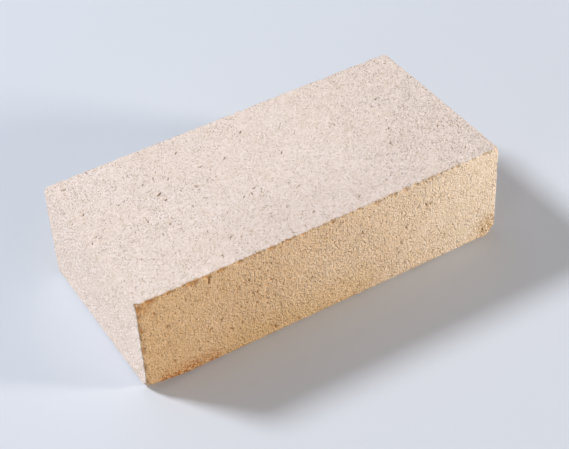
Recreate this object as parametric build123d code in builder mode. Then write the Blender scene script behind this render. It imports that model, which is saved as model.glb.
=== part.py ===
from build123d import *
import os

# Insulating brick: one fired, porous ceramic block, ground to size on all six faces.
# Millimetres, +Z up. It lies on its bed face, centred on the origin in plan:
# +X runs along its length, +Y across its width, and z = 0 is the bed.

# ---- driving dimensions ----
LENGTH = 230.0
WIDTH = 114.0
HEIGHT = 64.0

UPRIGHT_ARRIS_R = 1.1   # the four upright arrises
TOP_ARRIS_R = 0.9       # arrises round the upper face

# Corners that handling has knocked off. Each one is a flat break that reaches
# (along X, along Y, along Z) from the sharp corner of the block.
CORNERS = {
    # long shallow wear along the lower front arris, at the left end
    "lower_front_left_wear": ((-1, -1, 0), (30.0, 4.4, 4.2)),
    # the tip of the same corner, steeper
    "lower_front_left_tip": ((-1, -1, 0), (6.5, 6.0, 6.5)),
    # deep chip at the lower front corner of the right end
    "lower_front_right_chip": ((+1, -1, 0), (7.0, 6.0, 6.5)),
    # small knocks at the other corners
    "upper_front_right": ((+1, -1, 1), (3.0, 2.8, 2.6)),
    "upper_front_left": ((-1, -1, 1), (2.4, 2.4, 2.2)),
    "upper_back_left": ((-1, +1, 1), (2.5, 2.6, 2.4)),
    "upper_back_right": ((+1, +1, 1), (2.6, 2.5, 2.5)),
    "lower_back_left": ((-1, +1, 0), (3.6, 3.4, 3.4)),
    "lower_back_right": ((+1, +1, 0), (4.0, 4.4, 3.6)),
}

# The four arrises of the bed face are rubbed to narrow flats. The legs of each flat:
LOWER_LEFT_FLAT = 1.7
LOWER_FRONT_FLAT = 1.5
LOWER_RIGHT_FLAT = 1.2
LOWER_BACK_FLAT = 1.0


def break_plane(corner, reach):
    """The plane of a knocked-off corner, with its normal into the block."""
    sx, sy, top = corner
    inward = (-sx, -sy, -1 if top else 1)
    tip = Vector(sx * LENGTH / 2, sy * WIDTH / 2, HEIGHT if top else 0.0)
    normal = Vector(*(s / r for s, r in zip(inward, reach)))
    return Plane(origin=tip + Vector(inward[0] * reach[0], 0, 0), z_dir=normal)


with BuildPart() as brick:
    # the block
    with BuildSketch(Plane.XY) as bed:
        Rectangle(LENGTH, WIDTH)
    extrude(amount=HEIGHT)

    # rubbed flats on the arrises of the bed face, one side after another
    for side, index, flat in (
        (Axis.X, 0, LOWER_LEFT_FLAT),
        (Axis.Y, 0, LOWER_FRONT_FLAT),
        (Axis.X, -1, LOWER_RIGHT_FLAT),
        (Axis.Y, -1, LOWER_BACK_FLAT),
    ):
        lower = brick.faces().sort_by(Axis.Z)[0].edges()
        chamfer(lower.sort_by(side)[index], length=flat)

    # eased arrises: upright, then round the upper face
    fillet(brick.edges().filter_by(Axis.Z), radius=UPRIGHT_ARRIS_R)
    fillet(brick.faces().sort_by(Axis.Z)[-1].edges(), radius=TOP_ARRIS_R)

    # knocked corners: each break plane keeps the side that holds the block
    for corner, reach in CORNERS.values():
        split(bisect_by=break_plane(corner, reach), keep=Keep.TOP)

brick.part.label = "brick"

os.makedirs("parts", exist_ok=True)
export_step(brick.part, "parts/brick.step")

box = brick.part.bounding_box()
print("brick", round(brick.part.volume, 1), "mm3",
      [round(v, 3) for v in (box.min.X, box.min.Y, box.min.Z, box.max.X, box.max.Y, box.max.Z)])
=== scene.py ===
import math
import time

import bpy
import numpy as np
from mathutils import Matrix, Vector


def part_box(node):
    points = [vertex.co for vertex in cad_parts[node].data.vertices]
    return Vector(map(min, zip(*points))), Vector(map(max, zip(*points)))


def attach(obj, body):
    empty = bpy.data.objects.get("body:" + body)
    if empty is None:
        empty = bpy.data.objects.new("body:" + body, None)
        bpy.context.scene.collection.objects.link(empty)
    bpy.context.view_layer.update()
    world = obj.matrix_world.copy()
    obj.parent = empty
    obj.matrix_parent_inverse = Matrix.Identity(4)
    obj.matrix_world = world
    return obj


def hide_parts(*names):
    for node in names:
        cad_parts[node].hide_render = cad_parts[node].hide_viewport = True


T0 = time.perf_counter()


def say(what):
    print(f"[{time.perf_counter() - T0:6.1f} s] {what}", flush=True)


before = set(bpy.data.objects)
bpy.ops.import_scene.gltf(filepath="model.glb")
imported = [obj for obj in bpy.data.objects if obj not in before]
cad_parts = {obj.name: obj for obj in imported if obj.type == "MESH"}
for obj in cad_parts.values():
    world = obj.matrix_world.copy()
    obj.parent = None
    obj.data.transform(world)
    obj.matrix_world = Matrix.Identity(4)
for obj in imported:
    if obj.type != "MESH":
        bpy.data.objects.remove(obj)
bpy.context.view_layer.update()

# ------------------------------------------------------------------ sizes, in millimetres
LO, HI = (np.array(v) * 1000.0 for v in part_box("brick"))
LENGTH, WIDTH, HEIGHT = (float(v) for v in HI - LO)
HX, HY = LENGTH / 2, WIDTH / 2

PITCH = 0.40      # lattice pitch on the open faces
FACES = 188_000                      # triangles after thinning
SEED = 20417

# ------------------------------------------------------------------ noise


def _hash(ix, iy, iz, seed):
    h = (ix * 374761393 + iy * 668265263 + iz * 1442695041 + seed * 974711) & 0xFFFFFFFF
    h = ((h ^ (h >> 13)) * 1274126177) & 0xFFFFFFFF
    h = ((h ^ (h >> 16)) * 2246822519) & 0xFFFFFFFF
    return ((h ^ (h >> 15)) & 0xFFFF).astype(np.float32) / 32767.5 - 1.0


def noise(p, size, seed):
    """Smooth value noise in -1..1; size is the distance between its knots, in mm."""
    q = p / size
    i = np.floor(q).astype(np.int64)
    f = (q - i).astype(np.float32)
    f = f * f * f * (f * (f * 6 - 15) + 10)
    out = 0
    for dx in (0, 1):
        wx = f[:, 0] if dx else 1 - f[:, 0]
        for dy in (0, 1):
            wy = f[:, 1] if dy else 1 - f[:, 1]
            for dz in (0, 1):
                wz = f[:, 2] if dz else 1 - f[:, 2]
                out = out + wx * wy * wz * _hash(i[:, 0] + dx, i[:, 1] + dy, i[:, 2] + dz, seed)
    return out


def fbm(p, size, seed, octaves=3, gain=0.5):
    out, amp, total = 0, 1.0, 0.0
    for k in range(octaves):
        out = out + amp * noise(p, size / 2**k, seed + 31 * k)
        total += amp
        amp *= gain
    return out / total


# ------------------------------------------------------------------ lattice on the six sides


def lattice(length, pitch):
    """Knots along one edge: closer together within 5 mm of both ends."""
    zone, fine = 5.0, pitch * 0.62
    n = int(round(zone / (0.5 * (fine + pitch))))
    steps = np.linspace(fine, pitch, n)
    steps *= zone / steps.sum()
    head = np.concatenate([[0.0], np.cumsum(steps)])
    m = int(round((length - 2 * zone) / pitch))
    mid = np.linspace(zone, length - zone, m + 1)
    return np.concatenate([head[:-1], mid, length - head[-2::-1]])


KX = lattice(LENGTH, PITCH) - HX
KY = lattice(WIDTH, PITCH) - HY
KZ = lattice(HEIGHT, PITCH)
NX, NY, NZ = len(KX) - 1, len(KY) - 1, len(KZ) - 1

# side: (fixed axis, at the far end?, first in-plane axis, second in-plane axis), outward by the right-hand rule
SIDES = {
    "top": (2, 1, 0, 1),
    "bottom": (2, 0, 1, 0),
    "front": (1, 0, 0, 2),
    "back": (1, 1, 2, 0),
    "left": (0, 0, 2, 1),
    "right": (0, 1, 1, 2),
}
KNOTS, COUNT = (KX, KY, KZ), (NX, NY, NZ)

keys, quads, side_of_quad, side_grid = [], [], [], {}
for number, (name, (axis, far, a, b)) in enumerate(SIDES.items()):
    ia, ib = np.meshgrid(np.arange(COUNT[a] + 1), np.arange(COUNT[b] + 1), indexing="ij")
    ijk = np.zeros(ia.shape + (3,), np.int64)
    ijk[..., a], ijk[..., b], ijk[..., axis] = ia, ib, COUNT[axis] * far
    key = (ijk[..., 0] * (NY + 1) + ijk[..., 1]) * (NZ + 1) + ijk[..., 2]
    side_grid[name] = key
    keys.append(key.ravel())
unique, inverse = np.unique(np.concatenate(keys), return_inverse=True)
ijk = np.stack([unique // ((NY + 1) * (NZ + 1)), unique // (NZ + 1) % (NY + 1), unique % (NZ + 1)], -1)
BOX = np.stack([KX[ijk[:, 0]], KY[ijk[:, 1]], KZ[ijk[:, 2]]], -1)
start = 0
for number, (name, key) in enumerate(side_grid.items()):
    ids = inverse[start:start + key.size].reshape(key.shape)
    start += key.size
    side_grid[name] = ids
    q = np.stack([ids[:-1, :-1], ids[1:, :-1], ids[1:, 1:], ids[:-1, 1:]], -1).reshape(-1, 4)
    quads.append(q)
    side_of_quad.append(np.full(len(q), number))
quads = np.concatenate(quads)
say(f"lattice {len(BOX)} points, {len(quads)} quads")

# ------------------------------------------------------------------ the block with its eased and broken arrises

# flat breaks at the corners, as in the CAD solid: (sign x, sign y, upper?), reach along x, y, z
CORNERS = [
    ((-1, -1, 0), (30.0, 4.4, 4.2)),
    ((-1, -1, 0), (6.5, 6.0, 6.5)),
    ((+1, -1, 0), (7.0, 6.0, 6.5)),
    ((+1, -1, 1), (3.0, 2.8, 2.6)),
    ((-1, -1, 1), (2.4, 2.4, 2.2)),
    ((-1, +1, 1), (2.5, 2.6, 2.4)),
    ((+1, +1, 1), (2.6, 2.5, 2.5)),
    ((-1, +1, 0), (3.6, 3.4, 3.4)),
    ((+1, +1, 0), (4.0, 4.4, 3.6)),
]


def planes():
    """Every flat that bounds the block besides its six sides: (outward normal, offset, roundness)."""
    out = []
    for (sx, sy, top), reach in CORNERS:
        n = np.array([sx, sy, 1 if top else -1]) / np.array(reach)
        tip = np.array([sx * HX, sy * HY, HEIGHT if top else 0.0])
        size = np.linalg.norm(n)
        out.append((n / size, float(n @ tip / size - 1.0 / size), 1))
    for n, leg in (((-1, 0, -1), 1.7), ((0, -1, -1), 1.5), ((1, 0, -1), 1.2), ((0, 1, -1), 1.0)):
        n = np.array(n, float)
        edge = n * (HX if n[0] else HY)
        edge[2] = 0.0
        unit = n / math.sqrt(2)
        out.append((unit, float(unit @ edge - leg / math.sqrt(2)), 0))
    return out


def settle(p, radius, rough):
    """Moves points of the sharp box onto the worn block. radius is the arris radius at each point, rough an
    inward roughness of the broken flats. Returns the points, the outward normals and how broken each point is."""
    p = p.copy()
    broken = np.zeros(len(p))
    normal = np.zeros_like(p)
    centre = np.array([0, 0, HEIGHT / 2])
    half = np.array([HX, HY, HEIGHT / 2])
    flats = planes()
    for _ in range(5):
        rel = p - centre
        sign = np.where(rel < 0, -1.0, 1.0)
        q = np.abs(rel) - half + radius[:, None]
        pos = np.maximum(q, 0)
        far = np.linalg.norm(pos, axis=1)
        inner = q.max(1)
        d = np.where(inner > 0, far, inner) - radius
        n = np.where((inner > 0)[:, None], pos / np.maximum(far, 1e-9)[:, None], 0)
        n[inner <= 0] = np.eye(3)[q[inner <= 0].argmax(1)]
        n = n * sign
        for unit, offset, is_break in flats:
            e = p @ unit - offset + (rough * is_break + 0.35 * rough * (1 - is_break))
            use = e > d
            d = np.where(use, e, d)
            n[use] = unit
            broken = np.where(use & (e > -0.02) & (is_break > 0), 1.0, broken)
        p -= np.maximum(d, 0)[:, None] * n
        normal = n
    return p, normal, broken


# arris radius: small, uneven along the length
radius = 0.75 + 0.35 * fbm(BOX, 9.0, SEED + 1, 3)
rough = 0.30 + 0.42 * fbm(BOX, 2.6, SEED + 2, 3, 0.6)
rest, normal, broken = settle(BOX, np.clip(radius, 0.3, 1.8), np.clip(rough, 0, 1.2))
say("block settled")

# ------------------------------------------------------------------ pits, drawn on each side as depth in mm
rng = np.random.default_rng(SEED)


def stamp_squiggle(depth, ka, kb, ca, cb, length, width, deep, angle, bend):
    """A short crooked groove with steep walls and an uneven floor."""
    n = 4
    pts = [np.array([ca, cb])]
    for _ in range(n - 1):
        pts.append(pts[-1] + length / (n - 1) * np.array([math.cos(angle), math.sin(angle)]))
        angle += rng.normal(0, bend)
    pts = np.array(pts)
    pts += np.array([ca, cb]) - pts.mean(0)
    m = width * 1.3
    a0, a1 = np.searchsorted(ka, [pts[:, 0].min() - m, pts[:, 0].max() + m])
    b0, b1 = np.searchsorted(kb, [pts[:, 1].min() - m, pts[:, 1].max() + m])
    if a1 - a0 < 2 or b1 - b0 < 2:
        return
    A, B = np.meshgrid(ka[a0:a1], kb[b0:b1], indexing="ij")
    best = np.full(A.shape, 9.0)
    widths = width * 0.5 * rng.uniform(0.65, 1.15, n)
    widths[[0, -1]] *= 0.8
    for k in range(n - 1):
        s, e = pts[k], pts[k + 1]
        d = e - s
        t = np.clip(((A - s[0]) * d[0] + (B - s[1]) * d[1]) / max(d @ d, 1e-9), 0, 1)
        r = np.hypot(A - s[0] - t * d[0], B - s[1] - t * d[1])
        best = np.minimum(best, r / (widths[k] * (1 - t) + widths[k + 1] * t))
    wall = np.clip((1.35 - best) / 0.7, 0, 1)
    wall = wall * wall * (3 - 2 * wall)
    depth[a0:a1, b0:b1] = np.maximum(depth[a0:a1, b0:b1], deep * wall)


def stamp_hole(depth, ka, kb, ca, cb, ra, rb, angle, deep):
    """A roundish open pore."""
    m = max(ra, rb) * 1.5
    a0, a1 = np.searchsorted(ka, [ca - m, ca + m])
    b0, b1 = np.searchsorted(kb, [cb - m, cb + m])
    if a1 - a0 < 2 or b1 - b0 < 2:
        return
    A, B = np.meshgrid(ka[a0:a1] - ca, kb[b0:b1] - cb, indexing="ij")
    c, s = math.cos(angle), math.sin(angle)
    phi = np.arctan2(-A * s + B * c, A * c + B * s)
    lobes = 1 + 0.16 * np.sin(3 * phi + rng.uniform(0, 6.3)) + 0.1 * np.sin(5 * phi + rng.uniform(0, 6.3))
    r = np.hypot((A * c + B * s) / ra, (-A * s + B * c) / rb) / lobes
    wall = np.clip((1.3 - r) / 0.6, 0, 1)
    wall = wall * wall * (3 - 2 * wall)
    depth[a0:a1, b0:b1] = np.maximum(depth[a0:a1, b0:b1], deep * wall)


# per 100 mm2: long grooves, middling pores, small pores
DENSITY = {
    "top": (0.24, 1.5, 2.2),
    "bottom": (0.36, 1.5, 2.2),
    "front": (0.40, 1.7, 2.0),
    "back": (0.40, 1.7, 2.0),
    "left": (0.05, 0.40, 1.0),
    "right": (0.07, 0.50, 1.0),
}

# the larger pits that stand out in the photo: across and up its face in mm, length, width, depth, angle in degrees
SEEN_PITS = {
    "top": (
        (-63.6, 15.1, 3.4, 0.97, 1, 21), (-79.1, -1.6, 2.6, 0.84, 0.9, 48), (-43.7, -2, 1.5, 0.92, 0.95, 156),
        (-112.1, -1.4, 1.6, 0.84, 0.8, 50), (11.5, 8.6, 1.7, 0.84, 0.9, 49), (-42.5, 9.6, 2, 0.8, 0.85, 5),
        (-106.5, 0.7, 2.4, 0.71, 0.7, 24), (-47.7, -37.8, 2.2, 0.8, 0.75, 38), (-105.9, 23, 1.6, 0.84, 0.8, 29),
        (98.8, -20.6, 2.6, 0.76, 0.8, 18), (-18.1, 22.4, 2, 0.76, 0.8, 30), (-10.5, -33.6, 1.5, 0.76, 0.75, 33),
        (-60, 29.5, 1.5, 0.8, 0.8, 19), (-56.2, -27.5, 2, 0.84, 0.7, 109),
    ),
    "front": (
        (-61.7, 18.1, 2.8, 0.85, 0.8, 101), (65.4, 45.3, 3.2, 0.8, 0.8, 106), (22.9, 45.6, 2.4, 0.8, 0.8, 107),
        (48.5, 26.1, 2.3, 0.85, 0.8, 91), (27.1, 54.7, 2.8, 1.0, 0.7, 104), (-35.1, 5.7, 2.8, 1.1, 0.7, 106),
        (-105.2, 53.4, 1.9, 1.0, 0.7, 95), (68.1, 45.0, 1.8, 1.0, 0.7, 102), (-38.9, 28.6, 2.0, 0.9, 0.7, 117),
        (106.2, 7.0, 2.0, 1.1, 0.7, 89), (51.0, 9.2, 2.0, 0.8, 0.75, 87), (-44.7, 37.1, 1.9, 0.85, 0.75, 79),
        (-55.8, 45.3, 2.2, 1.3, 0.6, 65), (-72.6, 59.0, 3.6, 1.3, 0.8, 92),
    ),
}

pit = np.zeros(len(BOX))
for number, (name, (axis, far, a, b)) in enumerate(SIDES.items()):
    ka, kb = KNOTS[a], KNOTS[b]
    depth = np.zeros((len(ka), len(kb)))
    la, lb = ka[-1] - ka[0], kb[-1] - kb[0]
    for kind, per_100 in enumerate(DENSITY[name]):
        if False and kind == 2:
            continue
        count = int(per_100 * la * lb / 100)
        ca = rng.uniform(ka[0] + 1.6, ka[-1] - 1.6, count * 3)
        cb = rng.uniform(kb[0] + 1.6, kb[-1] - 1.6, count * 3)
        spot = np.zeros((len(ca), 3))
        spot[:, a], spot[:, b], spot[:, axis] = ca, cb, 1000 * number
        crowd = fbm(spot, 22.0, SEED + 7, 2)
        lean = 0.5 * np.clip((ca - 20) / 70, 0, 1) if name == "top" else 0.0      # more of them near its right end
        keep = np.flatnonzero(rng.uniform(-1.0, 1.0, len(ca)) < 0.9 * crowd + lean)[:count]
        for k in keep:
            if kind == 0:
                stamp_squiggle(depth, ka, kb, ca[k], cb[k], rng.uniform(1.0, 2.4), rng.uniform(0.60, 0.90),
                               rng.uniform(0.45, 0.85), rng.uniform(0, 6.3), 0.65)
            elif kind == 1:
                if rng.random() < 0.6:
                    stamp_squiggle(depth, ka, kb, ca[k], cb[k], rng.uniform(0.6, 1.4), rng.uniform(0.42, 0.68),
                                   rng.uniform(0.22, 0.48), rng.uniform(0, 6.3), 0.7)
                else:
                    r = rng.uniform(0.28, 0.50)
                    stamp_hole(depth, ka, kb, ca[k], cb[k], r * rng.uniform(1, 1.6), r, rng.uniform(0, 6.3),
                               rng.uniform(0.22, 0.48))
            else:
                r = rng.uniform(0.22, 0.36)
                stamp_hole(depth, ka, kb, ca[k], cb[k], r * rng.uniform(1, 1.9), r, rng.uniform(0, 6.3),
                           rng.uniform(0.14, 0.30))
    for across, up, length, width, deep, angle in SEEN_PITS.get(name, ()):
        stamp_squiggle(depth, ka, kb, across, up, length, width, 0.85 * deep, math.radians(angle), 0.3)
    ids = side_grid[name]
    inside = np.zeros(depth.shape, bool)
    inside[1:-1, 1:-1] = True
    pit[ids[inside]] = depth[inside]
say("pits drawn")

# ------------------------------------------------------------------ nicks out of the arrises
# the ones that stand out in the photo: place along the arris, distance off it onto the front, radius, stretch
SEEN_NICKS = {
    "long1-1": (
        (-106.2, 1.3, 1.9, 1.7), (-95.5, 0.9, 1.6, 2.0), (-87.0, 0.9, 1.1, 1.2), (-81.6, 1.5, 2.0, 2.2), (-72.6, 1.5, 1.6, 1.4),
        (-64.6, 1.1, 1.8, 2.2), (-53.5, 1.0, 1.7, 1.2), (-45.0, 1.0, 1.2, 1.1), (-34.2, 1.1, 1.8, 1.6), (-23.1, 0.9, 1.4, 1.3),
        (-14.0, 1.1, 1.3, 1.8), (-1.5, 0.9, 1.3, 1.1), (3.9, 1.0, 1.7, 1.1), (10.0, 1.1, 1.1, 1.3), (16.4, 1.1, 1.1, 1.4),
        (21.7, 0.7, 1.2, 1.2), (32.7, 1.8, 1.5, 1.5), (44.6, 1.0, 1.6, 1.0), (51.8, 1.0, 1.8, 1.2), (59.1, 0.8, 1.3, 1.1),
        (67.6, 0.8, 1.5, 1.5), (74.4, 0.5, 1.2, 1.0), (86.4, 0.9, 1.3, 1.2), (97.0, 0.9, 1.1, 1.2), (105.0, 0.8, 1.1, 1.3),
    ),
    "upright-1-1": (
        (60.6, 1.0, 1.9, 1.4), (54.8, 0.6, 1.3, 1.2), (45.9, 0.8, 1.5, 2.6), (36.0, 0.8, 1.1, 1.5), (30.7, 0.9, 1.6, 2.8),
        (18.6, 0.5, 1.3, 3.0), (9.0, 0.7, 1.1, 1.5),
    ),
}
nick_push = np.zeros(len(BOX))
ends = {}
for sx in (-1, 1):
    for sy in (-1, 1):
        ends[f"upright{sx}{sy}"] = (np.array([sx * HX, sy * HY, 0.0]), np.array([sx * HX, sy * HY, HEIGHT]))
for top in (0, 1):
    for s in (-1, 1):
        ends[f"long{top}{s}"] = (np.array([-HX, s * HY, top * HEIGHT]), np.array([HX, s * HY, top * HEIGHT]))
        ends[f"short{top}{s}"] = (np.array([s * HX, -HY, top * HEIGHT]), np.array([s * HX, HY, top * HEIGHT]))
from_edge = np.minimum(np.minimum(np.abs(BOX[:, 0]) - HX, 0), 0)
near = np.stack([HX - np.abs(BOX[:, 0]), HY - np.abs(BOX[:, 1]), np.minimum(BOX[:, 2], HEIGHT - BOX[:, 2])], -1)
second = np.sort(near, axis=1)[:, 1]
arris_ids = np.flatnonzero(second < 4.5)
arris = BOX[arris_ids]
push = np.zeros(len(arris))
for name, (s, e) in ends.items():
    along = e - s
    length = np.linalg.norm(along)
    per_mm = 0.24
    worn = 0.85
    if name in SEEN_NICKS:
        per_mm, worn = 0.40, 1.0
    elif name == "short1-1":      # the upper arris of the left end is cleaner
        per_mm, worn = 0.12, 0.6
    unit = along / length
    nicks = []
    for _ in range(int(length * per_mm)):
        t = rng.uniform(0.01, 0.99)
        big = rng.random() ** 2.4
        r = (0.5 + 1.25 * big) * worn
        nicks.append((s + along * t, r, r * rng.uniform(0.25, 0.45), rng.uniform(0.9, 1.6)))
    for place, off_it, r, stretch in SEEN_NICKS.get(name, ()):
        c = np.array([place, -HY, HEIGHT - off_it]) if name == "long1-1" else np.array([-HX + off_it, -HY, place])
        nicks.append((c, r, (0.40 if name == "long1-1" else 0.32) * r, stretch))
    for c, r, deep, stretch in nicks:
        d = arris - c
        run = d @ unit
        hit = np.abs(run) < r * stretch
        if not hit.any():
            continue
        off = d[hit] - run[hit, None] * unit
        rr = np.sqrt((run[hit] / (r * stretch)) ** 2 + (off**2).sum(1) / r**2)
        w = np.clip(1.25 * (1 - rr * rr), 0, 1)
        push[hit] = np.maximum(push[hit], deep * w)
nick_push[arris_ids] = push
say("arrises nicked")

# ------------------------------------------------------------------ the relief, inwards only
granule = fbm(rest, 1.9, SEED + 11, 2, 0.55)
wave = fbm(rest, 14.0, SEED + 12, 2)
on_end = np.clip((np.abs(normal[:, 0]) - 0.5) / 0.3, 0, 1)
grain = (0.075 - 0.05 * on_end) * (0.55 - granule) + 0.05 * (0.6 - wave)
crumble = np.clip(1.0 - second / 2.2, 0, 1)
grain = grain + crumble * 0.10 * (0.7 + fbm(rest, 1.5, SEED + 13, 2))
fracture = broken * 0.30 * (0.7 + fbm(rest, 1.7, SEED + 14, 3, 0.6))
nick_rough = np.clip(nick_push / 0.4, 0, 1) * 0.16 * (0.8 + fbm(rest, 1.2, SEED + 15, 2))
push = np.clip(grain, 0, None) + pit + nick_push + np.clip(fracture, 0, None) + nick_rough

# arris points go in along the bisector of the two sides, so that a nick bites evenly
blend = np.clip(1.0 - second / 1.6, 0, 1)[:, None]
centre = np.array([0, 0, HEIGHT / 2])
half = np.array([HX, HY, HEIGHT / 2])
toward = (BOX - centre) / half
toward = np.sign(toward) * np.clip(1.0 - near / 2.6, 0, 1)
size = np.linalg.norm(toward, axis=1)
toward = np.where((size > 1e-6)[:, None], toward / np.maximum(size, 1e-6)[:, None], normal)
direction = normal * (1 - blend) + toward * blend
direction /= np.maximum(np.linalg.norm(direction, axis=1), 1e-6)[:, None]
points = rest - direction * push[:, None]
points[:, 0] = np.clip(points[:, 0], -HX, HX)
points[:, 1] = np.clip(points[:, 1], -HY, HY)
points[:, 2] = np.clip(points[:, 2], 0, HEIGHT)

# how deep each point lies in a pit or nick; the material paints these recesses darker and browner as painted shade
hollow = np.clip(pit / 0.6 + 0.8 * np.clip(nick_push / 0.45 - 0.15, 0, 1), 0, 1)

# where the long sides' buff is painted, partly their own warmer colour and partly painted shade: the sides
# themselves, and the nicks that bite into them, painted as shaded as the sides
facing = np.clip((np.abs(normal[:, 1]) - 0.25) / 0.35, 0, 1)
by_long = np.clip(1.0 - (HY - np.abs(BOX[:, 1])) / 2.6, 0, 1)
bitten = np.clip(nick_push / 0.3 - 0.1, 0, 1) + broken * np.where(BOX[:, 1] < 0, 1.0, 0.5)
buff = np.clip(facing + by_long * bitten, 0, 1)

# worn ground along the lower front arris, strongest near its left end and at its right tip; its darker, browner
# colour is partly the worn ground's own and partly painted shade of the down-facing band
low = BOX[:, 2] + 0.9 * fbm(rest, 5.0, SEED + 21, 2) * 3.0
face = np.clip(1.0 - (BOX[:, 1] + HY) / 3.0, 0, 1)
along_x = BOX[:, 0]
left_band = np.clip((along_x + 112) / 8, 0, 1) * np.clip((-62 - along_x) / 14, 0, 1)
right_tip = np.clip((along_x - 90) / 16, 0, 1)
strips = np.clip(1.6 * fbm(rest, 16.0, SEED + 22, 2) + 0.25, 0, 1)
tall = 2.6 + 7.5 * left_band + 12.0 * right_tip
strength = 0.45 * strips + 1.0 * left_band + 0.8 * right_tip
wear_and_shade = face * np.clip(strength, 0, 1) * np.clip(1.2 - low / tall, 0, 1)
wear_and_shade = np.clip(wear_and_shade * (0.8 + 1.1 * fbm(rest, 1.5, SEED + 23, 2)), 0, 1)
# a band along every arris, which the material uses for painted shade and painted highlight on the arrises
arris_band = np.clip(1.0 - second / 1.1, 0, 1)
say("relief worked out")

# ------------------------------------------------------------------ dense mesh, thinned to the budget
me = bpy.data.meshes.new("brick_dense")
me.vertices.add(len(points))
me.vertices.foreach_set("co", (points / 1000.0).astype(np.float32).ravel())
me.loops.add(quads.size)
me.loops.foreach_set("vertex_index", quads.astype(np.int32).ravel())
me.polygons.add(len(quads))
me.polygons.foreach_set("loop_start", np.arange(0, quads.size, 4, dtype=np.int32))
for name, kind, values in (
    ("rest", "FLOAT_VECTOR", rest / 1000.0),
    ("hollow", "FLOAT", hollow),
    ("wear_and_shade", "FLOAT", wear_and_shade),
    ("buff", "FLOAT", buff),
    ("arris", "FLOAT", arris_band),
):
    layer = me.attributes.new(name, kind, "POINT")
    layer.data.foreach_set("vector" if kind == "FLOAT_VECTOR" else "value", values.astype(np.float32).ravel())
me.update(calc_edges=True)
me.validate()
dense = bpy.data.objects.new("brick_dense", me)
bpy.context.scene.collection.objects.link(dense)
thin = dense.modifiers.new("thin", "DECIMATE")
thin.decimate_type = "COLLAPSE"
thin.ratio = min(1.0, FACES / (2 * len(quads)))
thin.use_collapse_triangulate = True
dg = bpy.context.evaluated_depsgraph_get()
mesh = bpy.data.meshes.new_from_object(dense.evaluated_get(dg), depsgraph=dg)
say(f"thinned to {len(mesh.polygons)} faces, attributes {[a.name for a in mesh.attributes]}")
bpy.data.objects.remove(dense)
bpy.data.meshes.remove(me)
mesh.name = "insulating_brick"
co = np.empty(len(mesh.vertices) * 3, np.float32)
mesh.vertices.foreach_get("co", co)
co = np.clip(co.reshape(-1, 3), LO / 1000.0, HI / 1000.0)    # thinning may carry a point a hair outside
mesh.vertices.foreach_set("co", co.astype(np.float32).ravel())
mesh.update()
brick = bpy.data.objects.new("insulating_brick", mesh)
bpy.context.scene.collection.objects.link(brick)
mesh.polygons.foreach_set("use_smooth", np.ones(len(mesh.polygons), bool))

# ------------------------------------------------------------------ flat map: one island for each side
n_v, n_f = len(mesh.vertices), len(mesh.polygons)
at_rest = np.empty(n_v * 3, np.float32)
mesh.attributes["rest"].data.foreach_get("vector", at_rest)
at_rest = at_rest.reshape(-1, 3).astype(float) * 1000
tri = np.empty(n_f * 3, np.int32)
mesh.loops.foreach_get("vertex_index", tri)
tri = tri.reshape(-1, 3)
mid = at_rest[tri].mean(1)
gap = np.stack([HEIGHT - mid[:, 2], mid[:, 2], mid[:, 1] + HY, HY - mid[:, 1], mid[:, 0] + HX, HX - mid[:, 0]], -1)
side = gap.argmin(1)
# left corner of each island in mm, on a sheet 300 x 368 mm
SHEET = (300.0, 368.0)
SPOT = {"top": (1.5, 1.5), "bottom": (1.5, 118.5), "front": (1.5, 235.5), "back": (1.5, 301.5), "left": (234.5, 1.5), "right": (234.5, 118.5)}
uv = np.zeros((n_f, 3, 2))
for number, (name, (axis, far, a, b)) in enumerate(SIDES.items()):
    pick = side == number
    p = at_rest[tri[pick]]
    if name in ("top", "bottom"):
        u, v = p[..., 0] + HX, p[..., 1] + HY
    elif name in ("front", "back"):
        u, v = p[..., 0] + HX, p[..., 2]
    else:
        u, v = p[..., 2], p[..., 1] + HY
    if name in ("bottom", "back", "right"):
        u = (LENGTH if name != "right" else HEIGHT) - u
    uv[pick, :, 0] = (u + SPOT[name][0]) / SHEET[0]
    uv[pick, :, 1] = (v + SPOT[name][1]) / SHEET[1]
layer = mesh.uv_layers.new(name="OFBake")
layer.data.foreach_set("uv", uv.astype(np.float32).ravel())
layer.active = True
layer.active_render = True

# ------------------------------------------------------------------ material


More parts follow.
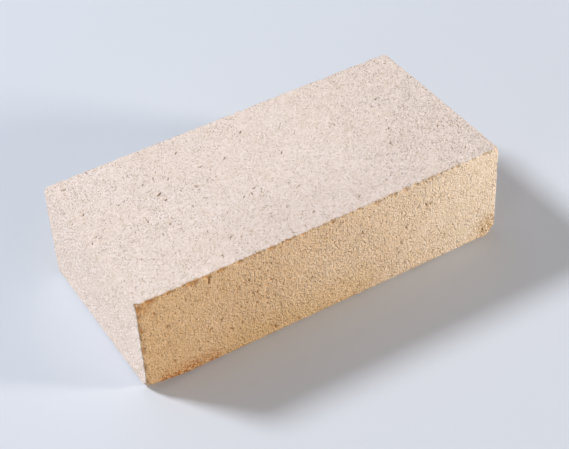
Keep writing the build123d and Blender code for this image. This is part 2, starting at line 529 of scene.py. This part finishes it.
class Nodes:
    def __init__(self, tree):
        self.tree = tree

    def add(self, kind, **props):
        node = self.tree.nodes.new(kind)
        for key, value in props.items():
            setattr(node, key, value)
        return node

    def link(self, a, b):
        self.tree.links.new(a, b)

    def value(self, socket, what):
        if hasattr(what, "links"):
            self.link(what, socket)
        else:
            socket.default_value = what

    def math(self, op, a, b=0.0, c=None, clamp=False):
        node = self.add("ShaderNodeMath", operation=op, use_clamp=clamp)
        self.value(node.inputs[0], a)
        self.value(node.inputs[1], b)
        if c is not None:
            self.value(node.inputs[2], c)
        return node.outputs[0]

    def range(self, x, a, b, c=0.0, d=1.0, smooth=True):
        node = self.add("ShaderNodeMapRange", interpolation_type="SMOOTHSTEP" if smooth else "LINEAR")
        self.value(node.inputs["Value"], x)
        for key, v in zip(("From Min", "From Max", "To Min", "To Max"), (a, b, c, d)):
            self.value(node.inputs[key], v)
        return node.outputs["Result"]

    def noise(self, vector, per_mm, detail=2.0, rough=0.5, distort=0.0, seed=0.0):
        node = self.add("ShaderNodeTexNoise", noise_dimensions="4D")
        self.link(vector, node.inputs["Vector"])
        node.inputs["Scale"].default_value = per_mm * 1000
        node.inputs["Detail"].default_value = detail
        node.inputs["Roughness"].default_value = rough
        node.inputs["Distortion"].default_value = distort
        node.inputs["W"].default_value = seed
        return node.outputs["Fac"]

    def cells(self, vector, per_mm, feature="F1", random=1.0):
        node = self.add("ShaderNodeTexVoronoi", feature=feature, voronoi_dimensions="3D")
        self.link(vector, node.inputs["Vector"])
        node.inputs["Scale"].default_value = per_mm * 1000
        node.inputs["Randomness"].default_value = random
        return node

    def mix(self, fac, a, b, blend="MIX"):
        node = self.add("ShaderNodeMix", data_type="RGBA", blend_type=blend, clamp_result=False)
        self.value(node.inputs["Factor"], fac)
        self.value(node.inputs[6], a)
        self.value(node.inputs[7], b)
        return node.outputs[2]


PALE = (0.803, 0.695, 0.630)          # the ground faces
PALE_PATCH = (0.795, 0.678, 0.603)    # the same, a little warmer in patches
BUFF_SHADED_LEFT = (0.634, 0.423, 0.226)        # the long sides, from their left end to their right: a warm own colour with painted shade, darkest at the left, lighter towards the right as painted light from the right-hand lamp
BUFF_LIT_RIGHT = (0.820, 0.698, 0.552)


def porous_ceramic():
    mat = bpy.data.materials.new("porous_ceramic")
    mat.use_nodes = True
    tree = mat.node_tree
    tree.nodes.clear()
    n = Nodes(tree)
    out = n.add("ShaderNodeOutputMaterial")
    bsdf = n.add("ShaderNodeBsdfPrincipled")
    n.link(bsdf.outputs[0], out.inputs["Surface"])
    where = n.add("ShaderNodeAttribute", attribute_name="rest").outputs["Vector"]
    hollow_, wear_shade_fac, long_side, arris_ = (
        n.add("ShaderNodeAttribute", attribute_name=a).outputs["Fac"] for a in ("hollow", "wear_and_shade", "buff", "arris")
    )
    xyz = n.add("ShaderNodeSeparateXYZ")
    n.link(where, xyz.inputs[0])
    x = xyz.outputs[0]
    end_side = n.range(n.math("ABSOLUTE", x), (HX - 0.5) / 1000, (HX - 0.1) / 1000)
    flat_side = n.math("SUBTRACT", 1.0, n.math("MAXIMUM", long_side, end_side))

    def by_side(top, long, end):
        """A number that differs between the bed faces, the long sides and the ends."""
        v = n.math("MULTIPLY_ADD", end_side, n.math("SUBTRACT", end, top), top)
        return n.math("MULTIPLY_ADD", long_side, n.math("SUBTRACT", long, top), v)

    def around(centre, inner, outer):
        far = n.add("ShaderNodeVectorMath", operation="DISTANCE")
        n.link(where, far.inputs[0])
        far.inputs[1].default_value = tuple(v / 1000 for v in centre)
        return n.range(far.outputs["Value"], inner / 1000, outer / 1000, 1.0, 0.0)

    # ---- relief, in mm: rounded grains, a finer and a broader roughness
    grains = n.cells(where, 1 / 1.15).outputs["Distance"]
    fine = n.noise(where, 1 / 0.9, 1.0, 0.6, 0.0, 2.0)
    broad = n.noise(where, 1 / 2.6, 1.0, 0.5, 0.0, 1.0)
    height = n.math("MULTIPLY", n.math("MULTIPLY", grains, grains), -0.38)
    height = n.math("MULTIPLY_ADD", fine, 0.25, height)
    height = n.math("MULTIPLY_ADD", broad, by_side(0.10, 0.28, 0.0), height)
    # short crooked grooves
    crease = n.math("ABSOLUTE", n.math("SUBTRACT", n.noise(where, 1 / 1.6, 1.0, 0.5, 0.2, 7.0), 0.5))
    gate = n.range(n.noise(where, 1 / 1.3, 1.0, 0.5, 0.0, 5.0), 0.56, 0.64)
    groove = n.math("MULTIPLY", n.range(crease, 0.0, 0.05, 1.0, 0.0), gate)
    height = n.math("MULTIPLY_ADD", groove, -0.07, height)
    # open pores of two sizes and grains that stand out, all with a ragged outline
    warp = n.add("ShaderNodeTexNoise", noise_dimensions="3D")
    n.link(where, warp.inputs["Vector"])
    warp.inputs["Scale"].default_value = 1000 / 0.9
    warp.inputs["Detail"].default_value = 0.0
    ragged = n.add("ShaderNodeVectorMath", operation="MULTIPLY_ADD")
    n.link(warp.outputs["Color"], ragged.inputs[0])
    ragged.inputs[1].default_value = (0.00035,) * 3
    n.link(where, ragged.inputs[2])

    def scattered(size, compare, bar, reach):
        """1 in the middle of the cells that the draw picks, 0 elsewhere."""
        cell = n.cells(ragged.outputs[0], 1 / size)
        draw = n.add("ShaderNodeSeparateColor")
        n.link(cell.outputs["Color"], draw.inputs[0])
        picked = n.math(compare, draw.outputs[0], bar)
        return n.math("MULTIPLY", n.range(cell.outputs["Distance"], 0.3 * reach, reach, 1.0, 0.0), picked), draw

    hole, _ = scattered(1.7, "GREATER_THAN", by_side(0.56, 0.55, 0.70), 0.33)
    dot, _ = scattered(1.2, "GREATER_THAN", by_side(0.72, 0.62, 0.62), 0.35)
    lump, shade = scattered(1.2, "LESS_THAN", by_side(0.24, 0.36, 0.30), 0.37)
    pore = n.math("MAXIMUM", hole, n.math("MULTIPLY", dot, 0.7))
    height = n.math("MULTIPLY_ADD", hole, -0.45, height)
    height = n.math("MULTIPLY_ADD", dot, -0.35, height)
    height = n.math("MULTIPLY_ADD", lump, 0.32, height)
    # rougher towards the right end of the bed faces, and in patches
    rougher = n.range(x, 0.030, 0.100, 0.0, 0.95)
    rougher = n.math("MULTIPLY", rougher, n.range(xyz.outputs[1], -0.010, 0.045, 1.0, 0.5))
    rougher = n.math("MULTIPLY_ADD", around((-72, 0, 64), 15, 55), 0.12, rougher)
    long_gain = n.math("MULTIPLY", n.range(x, 0.045, 0.110, 1.80, 1.40), n.range(xyz.outputs[1], -0.05, 0.05, 1.0, 0.75))
    long_gain = n.math("MULTIPLY", long_gain, n.range(x, -0.110, -0.020, 0.82, 1.0))
    end_gain = n.range(x, -0.05, 0.05, 1.25, 0.85)
    gain = n.math("MULTIPLY_ADD", flat_side, rougher, by_side(0.92, long_gain, end_gain))
    rugged = n.noise(where, 1 / 16.0, 2.0, 0.55, 0.3, 6.0)
    rugged = n.range(rugged, 0.32, 0.68, 0.78, 1.22, smooth=False)
    height = n.math("MULTIPLY", n.math("MULTIPLY", height, gain), rugged)
    bump = n.add("ShaderNodeBump")
    bump.inputs["Strength"].default_value = 1.0
    bump.inputs["Distance"].default_value = 0.001
    n.link(height, bump.inputs["Height"])
    n.link(bump.outputs[0], bsdf.inputs["Normal"])

    # ---- colour: pale on the ground faces, buff on the long sides (partly painted shade, lighter to the right as painted light)
    clouds = n.noise(where, 1 / 38.0, 3.0, 0.5, 0.2, 3.0)
    mottle = n.noise(where, 1 / 5.0, 3.0, 0.6, 0.0, 4.0)
    pale = n.mix(n.range(clouds, 0.35, 0.65), (*PALE, 1), (*PALE_PATCH, 1))
    run = n.math("MULTIPLY_ADD", n.math("SUBTRACT", clouds, 0.5), 0.06, x)
    run = n.math("POWER", n.range(run, -HX / 1000, HX / 1000, smooth=False), 1.25)
    # the long sides grow lighter towards their right end: painted light falloff from the lamp at the right
    buff = n.mix(run, (*BUFF_SHADED_LEFT, 1), (*BUFF_LIT_RIGHT, 1))
    base = n.mix(long_side, pale, buff)
    dark = n.mix(1.0, base, (0.90, 0.865, 0.82, 1), "MULTIPLY")
    col = n.mix(n.math("MULTIPLY", n.range(mottle, 0.45, 0.75), 0.6), base, dark)
    col = n.mix(n.range(fine, 0.30, 0.44, 0.3, 0.0), col, dark)
    light = n.mix(n.range(fine, 0.58, 0.72, 0.0, 0.8), (1, 1, 1, 1), (1.10, 1.13, 1.18, 1))
    col = n.mix(1.0, col, light, "MULTIPLY")
    # every grain has a shade of its own
    own = n.math("SUBTRACT", shade.outputs[1], 0.5)
    own = n.math("MULTIPLY_ADD", own, by_side(0.52, 0.62, n.range(x, -0.05, 0.05, 1.0, 0.55)), 0.5)
    duller = n.mix(long_side, (0.86, 0.845, 0.80, 1), (0.89, 0.84, 0.72, 1))
    brighter = n.mix(long_side, (1.14, 1.155, 1.20, 1), (1.11, 1.16, 1.28, 1))
    col = n.mix(1.0, col, n.mix(own, duller, brighter), "MULTIPLY")
    # pits, pores and nicks painted browner and darker: painted shade in the recesses
    pit_shade_tint = n.mix(long_side, (0.81, 0.72, 0.60, 1), n.mix(run, (0.74, 0.53, 0.31, 1), (0.74, 0.61, 0.47, 1)))
    pit_shade_col = n.mix(1.0, base, pit_shade_tint, "MULTIPLY")
    low = n.math("MAXIMUM", hollow_, n.math("MULTIPLY", n.math("MAXIMUM", groove, pore), 0.9))
    col = n.mix(n.range(low, 0.05, 0.9, 0.0, 0.75), col, pit_shade_col)
    # a browner tone low on the front, left of its middle, and a duller one along the upper face's front
    y, z = xyz.outputs[1], xyz.outputs[2]
    foot = n.math("MULTIPLY", n.range(z, 0.004, 0.032, 1.0, 0.0), n.range(n.math("ABSOLUTE", n.math("ADD", x, 0.020)), 0.030, 0.065, 1.0, 0.0))
    foot = n.math("MULTIPLY", foot, n.range(y, -0.0565, -0.054, 1.0, 0.0))
    col = n.mix(foot, col, n.mix(1.0, col, (0.96, 0.915, 0.79, 1), "MULTIPLY"))
    brow = n.math("MULTIPLY", n.range(y, -0.050, 0.002, 1.0, 0.0), n.range(n.math("ABSOLUTE", n.math("SUBTRACT", x, 0.008)), 0.025, 0.085, 1.0, 0.0))
    brow = n.math("MULTIPLY", n.math("MULTIPLY", brow, flat_side), n.range(z, 0.060, 0.063))
    col = n.mix(brow, col, n.mix(1.0, col, (0.930, 0.922, 0.925, 1), "MULTIPLY"))
    # worn ground at the foot of the front, in flecks, painted darker and browner: partly its own colour, partly
    # painted shade
    worn_shade_tint = n.mix(run, (0.84, 0.56, 0.31, 1), (0.88, 0.76, 0.55, 1))
    worn_shade_col = n.mix(1.0, col, worn_shade_tint, "MULTIPLY")
    tips = n.math("MAXIMUM", n.math("MULTIPLY", around((-114, -57, 61), 2, 11), 0.45),
                  around((113, -57, 7), 4, 17))
    wear_shade_fac = n.math("MAXIMUM", wear_shade_fac, n.math("MULTIPLY", n.math("MULTIPLY", tips, long_side), 0.75))
    flecks = n.range(fine, 0.40, 0.60, 1.25, 0.35)
    col = n.mix(n.math("MULTIPLY", wear_shade_fac, flecks, clamp=True), col, worn_shade_col)
    # darker brown flecks in the band: painted shade
    dark_fleck_shade = n.range(n.noise(where, 1 / 1.15, 1.0, 0.6, 0.0, 9.0), 0.50, 0.60)
    dark_fleck_shade = n.math("MULTIPLY", n.math("MULTIPLY", wear_shade_fac, 1.3, clamp=True), dark_fleck_shade)
    col = n.mix(dark_fleck_shade, col, n.mix(1.0, col, n.mix(run, (0.60, 0.44, 0.29, 1), (0.56, 0.46, 0.36, 1)), "MULTIPLY"))
    # the ends a shade cooler, and the arrises of the pale faces painted a little darker: painted shade that damps
    # their highlight
    end_tint = n.mix(n.range(x, -0.05, 0.05), (0.985, 0.965, 0.93, 1), (0.93, 0.945, 0.96, 1))
    col = n.mix(end_side, col, n.mix(1.0, col, end_tint, "MULTIPLY"))
    arris_shade = n.mix(1.0, col, (0.82, 0.80, 0.78, 1), "MULTIPLY")
    pale_arris = n.math("MULTIPLY", arris_, n.math("SUBTRACT", 1.0, long_side))
    col = n.mix(n.math("MULTIPLY", pale_arris, 0.5), col, arris_shade)
    # and those of the long sides painted a little paler: a painted highlight that lifts their shaded fillet
    buff_arris_highlight = n.math("MULTIPLY", n.math("MULTIPLY", arris_, long_side), n.math("SUBTRACT", 1.0, hollow_))
    col = n.mix(buff_arris_highlight, col, n.mix(1.0, col, (1.12, 1.15, 1.20, 1), "MULTIPLY"))
    n.link(col, bsdf.inputs["Base Color"])

    rough_ = n.range(broad, 0.3, 0.7, 0.96, 0.84)
    rough_ = n.math("MAXIMUM", rough_, n.math("MULTIPLY", hollow_, 0.98))
    n.link(rough_, bsdf.inputs["Roughness"])
    bsdf.inputs["Specular IOR Level"].default_value = 0.22
    return mat


mesh.materials.append(porous_ceramic())
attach(brick, "root")
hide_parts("brick")

# ------------------------------------------------------------------ floor, light, camera


def floor_paint(colour, near, far):
    """Plain matt floor that melts into the backdrop well away from the brick."""
    mat = bpy.data.materials.new("floor_paint")
    mat.use_nodes = True
    n = Nodes(mat.node_tree)
    mat.node_tree.nodes.clear()
    out = n.add("ShaderNodeOutputMaterial")
    paint = n.add("ShaderNodeBsdfPrincipled")
    paint.inputs["Base Color"].default_value = (*colour, 1)
    paint.inputs["Roughness"].default_value = 0.9
    paint.inputs["Specular IOR Level"].default_value = 0.2
    place = n.add("ShaderNodeVectorMath", operation="LENGTH")
    n.link(n.add("ShaderNodeNewGeometry").outputs["Position"], place.inputs[0])
    both = n.add("ShaderNodeMixShader")
    n.link(n.range(place.outputs["Value"], near, far), both.inputs[0])
    n.link(paint.outputs[0], both.inputs[1])
    n.link(n.add("ShaderNodeBsdfTransparent").outputs[0], both.inputs[2])
    n.link(both.outputs[0], out.inputs["Surface"])
    return mat


bpy.ops.mesh.primitive_circle_add(vertices=96, radius=9.0, fill_type="NGON", location=(0, 0, 0))
floor = bpy.context.object
floor.name = "floor"
floor.data.materials.append(floor_paint((0.62, 0.66, 0.72), 1.1, 3.2))

# a studio sky, bright towards the back left and dim towards the front right
scene = bpy.context.scene
world = bpy.data.worlds.new("studio")
scene.world = world
world.use_nodes = True
sky = Nodes(world.node_tree)
world.node_tree.nodes.clear()
backdrop = sky.add("ShaderNodeBackground")
sky.link(backdrop.outputs[0], sky.add("ShaderNodeOutputWorld").inputs["Surface"])
toward_light = sky.add("ShaderNodeVectorMath", operation="DOT_PRODUCT")
sky.link(sky.add("ShaderNodeTexCoord").outputs["Generated"], toward_light.inputs[0])
toward_light.inputs[1].default_value = (-0.7071, 0.7071, 0.0)
glow = sky.range(toward_light.outputs["Value"], -0.35, 0.65)
sky.link(sky.mix(glow, (0.105, 0.11, 0.12, 1), (0.54, 0.56, 0.60, 1)), backdrop.inputs["Color"])


def area(name, at, aim, size, power, colour, shape="DISK"):
    light = bpy.data.lights.new(name, "AREA")
    light.shape = shape
    light.size = size
    light.energy = power
    light.color = colour
    ob = bpy.data.objects.new(name, light)
    ob.location = at
    ob.rotation_euler = (Vector(aim) - Vector(at)).to_track_quat("-Z", "Y").to_euler()
    scene.collection.objects.link(ob)
    return ob


area("key", (-1.95, 2.33, 2.70), (0, 0, 0.03), 0.85, 151.0, (0.945, 0.960, 0.995))
area("left_fill", (-1.81, -1.08, 0.62), (-0.05, -0.02, 0.03), 0.66, 6.4, (1.0, 0.95, 0.92))
area("right_low", (1.98, -1.65, 0.55), (0, -0.057, 0.03), 0.57, 69.5, (1.0, 0.875, 0.76))

scene.view_settings.view_transform = "Standard"
scene.view_settings.look = "None"
scene.view_settings.exposure = 0.0
scene.view_settings.gamma = 1.0

# the photograph's viewpoint: rows are the camera's right, up and backward directions
RIGHT = Vector((0.854387, -0.517810, -0.043546))
UP = Vector((0.368223, 0.544172, 0.753849))
BACK = Vector((-0.366654, -0.660113, 0.655603))
cam = bpy.data.cameras.new("camera")
cam.sensor_width = 36.0
cam.lens = 93.97
cam.clip_start, cam.clip_end = 0.01, 50.0
camera = bpy.data.objects.new("camera", cam)
scene.collection.objects.link(camera)
m = Matrix((RIGHT, UP, BACK)).transposed().to_4x4()
m.translation = Vector((-0.3106, -0.5696, 0.5846))
camera.matrix_world = m
scene.camera = camera

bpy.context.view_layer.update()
say("scene made")
